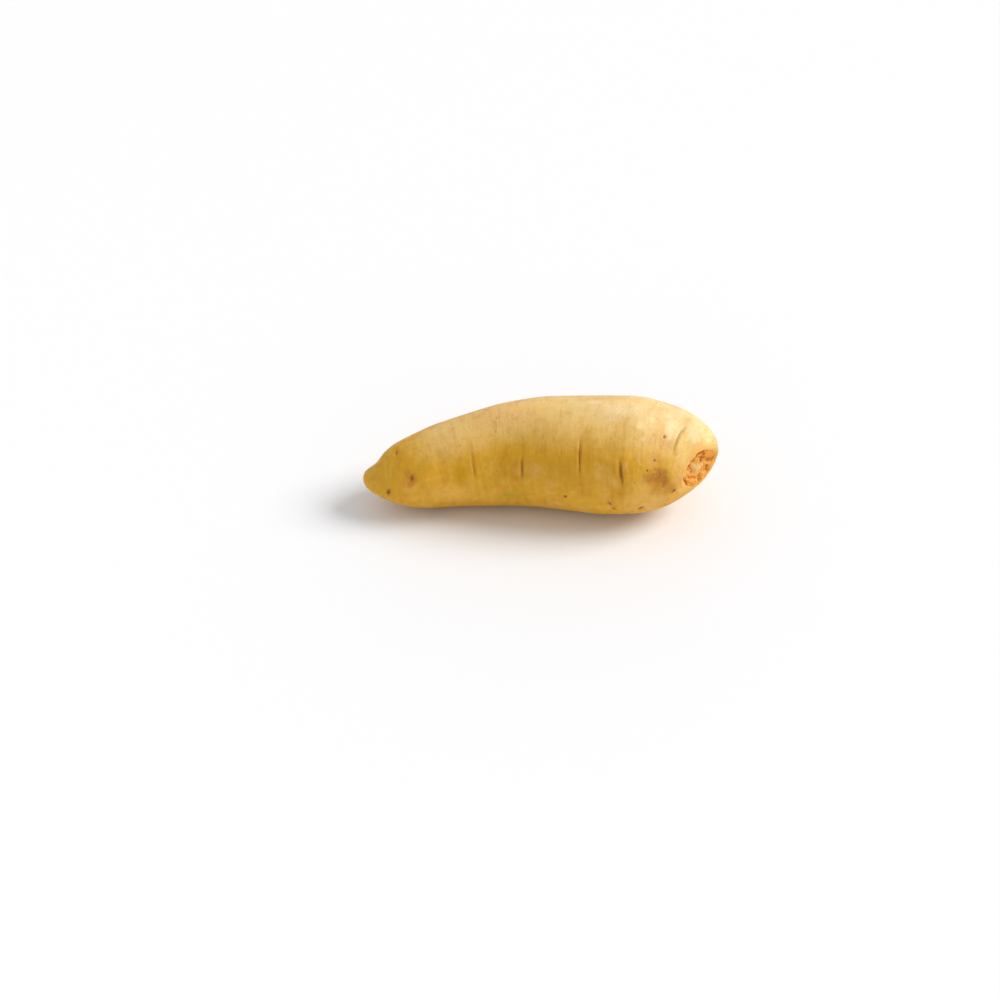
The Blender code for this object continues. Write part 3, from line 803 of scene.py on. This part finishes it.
print("layers so far:", len(tree.nodes), "nodes")

# %% Freckles and scurf
FRECKLE_SHARE = 0.45
cells = place(tree, "ShaderNodeTexVoronoi", {"Vector": here, "Scale": FRECKLES, "Randomness": 1.0})
dots = between(tree, cells.outputs["Distance"], 0.20, 0.06)
few = between(tree, noise(tree, here, FRECKLE_PATCHES, detail=1.0), 0.54, 0.64)
freckles = math(tree, "MULTIPLY", math(tree, "MULTIPLY", dots, few), FRECKLE_SHARE)
colour = blend(tree, freckles, colour, RUST)
scurf = between(tree, noise(tree, banded, SCURF, roughness=0.6), 0.60, 0.72, most=0.38)
colour = blend(tree, scurf, colour, RUST)
print("with freckles:", len(tree.nodes), "nodes")

# %% Stains, painted light and shade, creases and pits over it
# Some tints are painted light and shade: the light spots in full, and the milky and the dusky patches in part.
STAIN_AND_PAINTED_LIGHT_TINTS = {"straw": STRAW, "painted_light_spots": PAINTED_LIGHT_TINT, "milk_and_painted_highlight": MILK_AND_PAINTED_HIGHLIGHT, "dusk_and_painted_shade": SHADE, "olive": OLIVE, "ochre": YELLOW,
               "rust": RUST, "bruise": BRUISE}
MARKS = (  # kind, colour, value of its mask where the colour begins and where it is full
    ("crease", CRACK, 0.22, 0.85),
    ("pit", PIT, 0.18, 0.75),
)
EDGE_SWING = 0.5
tatters = noise(tree, here, TATTERS)
for kind, tint in STAIN_AND_PAINTED_LIGHT_TINTS.items():
    share = between(tree, tatters, 0.20, 0.70, least=0.65, most=1.1)
    broken = math(tree, "MULTIPLY", mask(tree, kind), share)
    colour = blend(tree, between(tree, broken, 0.0, 1.2), colour, tint)
edge = swing(tree, tatters, EDGE_SWING)
for kind, tint, begins, full in MARKS:
    amount = mask(tree, kind)
    halo = between(tree, amount, 0.05, 0.60, most=0.40)
    colour = blend(tree, halo, colour, RUST)
    frayed_amount = math(tree, "ADD", amount, math(tree, "MULTIPLY", edge, amount))
    colour = blend(tree, between(tree, frayed_amount, begins, full, most=0.9), colour, tint)
print("with stains:", len(tree.nodes), "nodes")

# %% [markdown]
# ## Finish of the break
# The torn face is flesh that has dried: dull orange with brighter amber lobes, russet and then brown in its
# cracks and hollows, and beige in its woody core. It belongs to the same mesh, so it is one more layer in the
# same material, laid on by the mask of the break, and it is rougher than the skin.

# %% Torn flesh
FRAY_SWING, STAINED_SHARE = 1.2, 0.5
strands = noise(tree, here, STRANDS, detail=5.0, roughness=0.7)
flesh = blend(tree, between(tree, strands, 0.40, 0.75, most=0.7), FLESH, AMBER)
flesh = blend(tree, mask(tree, "orange"), flesh, AMBER)
flesh = blend(tree, between(tree, mask(tree, "core"), 0.15, 0.75, most=0.9), flesh, BEIGE)
deep = math(tree, "MAXIMUM", mask(tree, "brown"), between(tree, mask(tree, "hollow"), 0.35, 0.9))
frayed = math(tree, "ADD", deep, swing(tree, strands, FRAY_SWING))
flesh = blend(tree, between(tree, frayed, 0.00, 0.55, most=0.7), flesh, RUSSET)
flesh = blend(tree, between(tree, frayed, 0.35, 1.00, most=0.9), flesh, BARK)
stained = math(tree, "MULTIPLY", mask(tree, "near_scar"), STAINED_SHARE)
colour = blend(tree, stained, colour, FLESH)
inside = between(tree, math(tree, "ADD", mask(tree, "torn"), edge), 0.25, 0.75)
colour = blend(tree, inside, colour, flesh)
tree.links.new(colour, shader.inputs["Base Color"])
print("with the break:", len(tree.nodes), "nodes")

# %% [markdown]
# ## Gloss and finest relief
# The blotches of the skin are a little duller or waxier too, so the same pattern steers the roughness. Light
# goes a few mm into the flesh and comes out redder. Pores and single fibres are too fine even for this mesh,
# and there alone a bump does the work.

# %% Gloss, depth and bump
TORN_DULLER = 0.2
BAND_RELIEF, PORE_RELIEF, STRAND_RELIEF = 0.7, 0.5, 1.6
dull = between(tree, blotches, 0.30, 0.70, least=0.42, most=0.60)
dull = math(tree, "ADD", dull, math(tree, "MULTIPLY", inside, TORN_DULLER))
tree.links.new(dull, shader.inputs["Roughness"])
shader.inputs["Subsurface Weight"].default_value = 0.20
shader.inputs["Subsurface Radius"].default_value = (1.0, 0.45, 0.12)
shader.inputs["Subsurface Scale"].default_value = 0.003
shader.inputs["Specular IOR Level"].default_value = 0.20

pores = noise(tree, here, PORES, roughness=0.5)
band_relief = math(tree, "MULTIPLY", fine_bands, BAND_RELIEF)
grain = math(tree, "ADD", band_relief, math(tree, "MULTIPLY", pores, PORE_RELIEF))
torn_strands = math(tree, "MULTIPLY", strands, inside)
grain = math(tree, "ADD", grain, math(tree, "MULTIPLY", torn_strands, STRAND_RELIEF))
bump = place(tree, "ShaderNodeBump", {"Height": grain, "Strength": 0.7, "Distance": 0.0004})
tree.links.new(bump.outputs["Normal"], shader.inputs["Normal"])
root.data.materials.append(finish)
print("root skin:", len(tree.nodes), "nodes")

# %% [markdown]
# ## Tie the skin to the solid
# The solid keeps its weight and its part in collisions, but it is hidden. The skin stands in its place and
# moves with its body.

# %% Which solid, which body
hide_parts("arracacha_root")
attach(root, "root")
print(root.name, "stands in place of arracacha_root")

# %% [markdown]
# ## Floor, light and camera
# The root lies on a white board in bright soft light. A wide window above and to the right gives the light
# its direction, so the crown glows, the tip is dimmer, and the shadow falls to the left. The rest comes from
# a pale room all round, which is brightest low down, where it meets the board.


# %% Floor
def plain(name, colour, roughness):
    """A material of one colour, for the stage alone."""
    made = bpy.data.materials.new(name)
    made.use_nodes = True
    made.node_tree.nodes["Principled BSDF"].inputs["Base Color"].default_value = colour
    made.node_tree.nodes["Principled BSDF"].inputs["Roughness"].default_value = roughness
    return made


HALF_FLOOR = 12.0
BOARD_COLOUR, BOARD_ROUGHNESS = (0.87, 0.87, 0.88, 1), 0.6
board = bpy.data.meshes.new("floor")
corners = ((-1, -1, 0), (1, -1, 0), (1, 1, 0), (-1, 1, 0))
board.from_pydata([tuple(HALF_FLOOR * value for value in corner) for corner in corners], [], [(0, 1, 2, 3)])
board.materials.append(plain("board", BOARD_COLOUR, BOARD_ROUGHNESS))
floor = bpy.data.objects.new("floor", board)
bpy.context.scene.collection.objects.link(floor)
print("floor", 2 * HALF_FLOOR, "m wide")

# %% Light
WINDOW_FROM, WINDOW_WIDTH, WINDOW_LIGHT = Vector((1.0, 0.10, 0.85)), 32.0, 2.55
window = bpy.data.lights.new("window", "SUN")
window.angle, window.energy = np.radians(WINDOW_WIDTH), WINDOW_LIGHT
sun = bpy.data.objects.new("window", window)
sun.rotation_euler = WINDOW_FROM.to_track_quat("Z", "Y").to_euler()
bpy.context.scene.collection.objects.link(sun)

OVERHEAD, LOW_DOWN = (0.60, 0.60, 0.60, 1), (1.0, 1.0, 1.0, 1)
LOW_HEIGHT, HIGH_HEIGHT = 0.16, 0.42  # the sine of the angle above level
room = bpy.data.worlds.new("room")
room.use_nodes = True
walls = room.node_tree
direction = place(walls, "ShaderNodeTexCoord").outputs["Generated"]
how_high = place(walls, "ShaderNodeSeparateXYZ", {"Vector": direction}).outputs["Z"]
brightness = blend(walls, between(walls, how_high, LOW_HEIGHT, HIGH_HEIGHT), LOW_DOWN, OVERHEAD)
walls.links.new(brightness, walls.nodes["Background"].inputs["Color"])
bpy.context.scene.world = room
print("window at", WINDOW_LIGHT, "W per square m, room", OVERHEAD[0], "to", LOW_DOWN[0])

# %% Camera, where the viewer stands
ELEVATION, DISTANCE = 38.0, 1.0
LENS, SENSOR, NEAREST = 90.0, 36.0, 0.01
TARGET = Vector((-0.0159, 0.0003, -0.0005))
view = bpy.data.cameras.new("viewer")
view.lens, view.sensor_width, view.clip_start = LENS, SENSOR, NEAREST
camera = bpy.data.objects.new("viewer", view)
back = Vector((0.0, -np.cos(np.radians(ELEVATION)), np.sin(np.radians(ELEVATION))))
camera.location = TARGET + DISTANCE * back
camera.rotation_euler = back.to_track_quat("Z", "Y").to_euler()
bpy.context.scene.collection.objects.link(camera)
bpy.context.scene.camera = camera
bpy.context.scene.view_settings.view_transform = "Standard"
print(f"camera {ELEVATION:.0f} degrees above level, {DISTANCE:.1f} m from the root")
